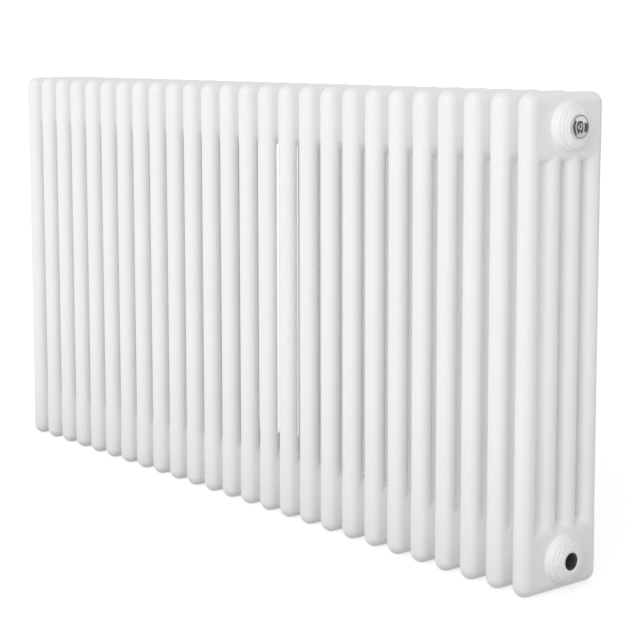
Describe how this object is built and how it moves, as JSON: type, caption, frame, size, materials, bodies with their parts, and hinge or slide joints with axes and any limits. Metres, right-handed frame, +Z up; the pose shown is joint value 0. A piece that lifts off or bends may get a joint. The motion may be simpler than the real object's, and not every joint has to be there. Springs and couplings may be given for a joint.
{
  "type": "column radiator",
  "caption": "White tubular steel column radiator: screwed-together vertical sections of paired heads and round tubes, with end bushes, chromed bleed vent and blanking plug.",
  "frame": {"origin": "middle of the bottom of the bounding box, on the plane the heads stand on", "axes": "+X along the row of sections towards the air vent end, +Y from the room towards the wall, +Z up"},
  "size_m": [1.1884, 0.1316, 0.6],
  "materials": {
    "paint": "white satin powder coat",
    "iron": "turned malleable iron, unpainted",
    "fibre": "matte grey fibre and rubber gasket",
    "rubber": "matte black rubber",
    "chrome": "bright chrome plate on brass"
  },
  "bodies": {
    "radiator": {"section_01": "paint", "section_02": "paint", "section_03": "paint", "section_04": "paint", "section_05": "paint", "section_06": "paint", "section_07": "paint", "section_08": "paint", "section_09": "paint", "section_10": "paint", "section_11": "paint", "section_12": "paint", "section_13": "paint", "section_14": "paint", "section_15": "paint", "section_16": "paint", "section_17": "paint", "section_18": "paint", "section_19": "paint", "section_20": "paint", "section_21": "paint", "section_22": "paint", "section_23": "paint", "section_24": "paint", "section_25": "paint", "section_26": "paint", "bush_top_right": "paint", "bush_top_left": "paint", "bush_bottom_right": "paint", "bush_bottom_left": "paint", "nipples_top": "iron", "nipples_bottom": "iron", "joint_gaskets_top": "fibre", "joint_gaskets_bottom": "fibre", "seal_top_right": "fibre", "seal_top_left": "fibre", "seal_bottom_right": "fibre", "seal_bottom_left": "fibre", "vent_o_ring": "rubber", "plug_o_ring": "rubber", "air_vent_body": "chrome", "blanking_plug": "chrome"},
    "bleed_seal_ring": {"bleed_seal": "rubber"},
    "bleed_spindle": {"bleed_screw": "chrome"}
  },
  "joints": [
    {"name": "bleed_screw_lift", "type": "slide", "parent": "radiator", "child": "bleed_seal_ring", "axis": [1, 0, 0], "range_m": [0, 0.0008]},
    {"name": "bleed_screw_turn", "type": "hinge", "parent": "bleed_seal_ring", "child": "bleed_spindle", "pos_m": [0.5905, 0, 0.56], "axis": [1, 0, 0], "range_deg": [0, 360]}
  ],
  "couplings": [
    {"joint": "bleed_screw_turn", "follows": "bleed_screw_lift", "rad_per_m": 7854}
  ]
}
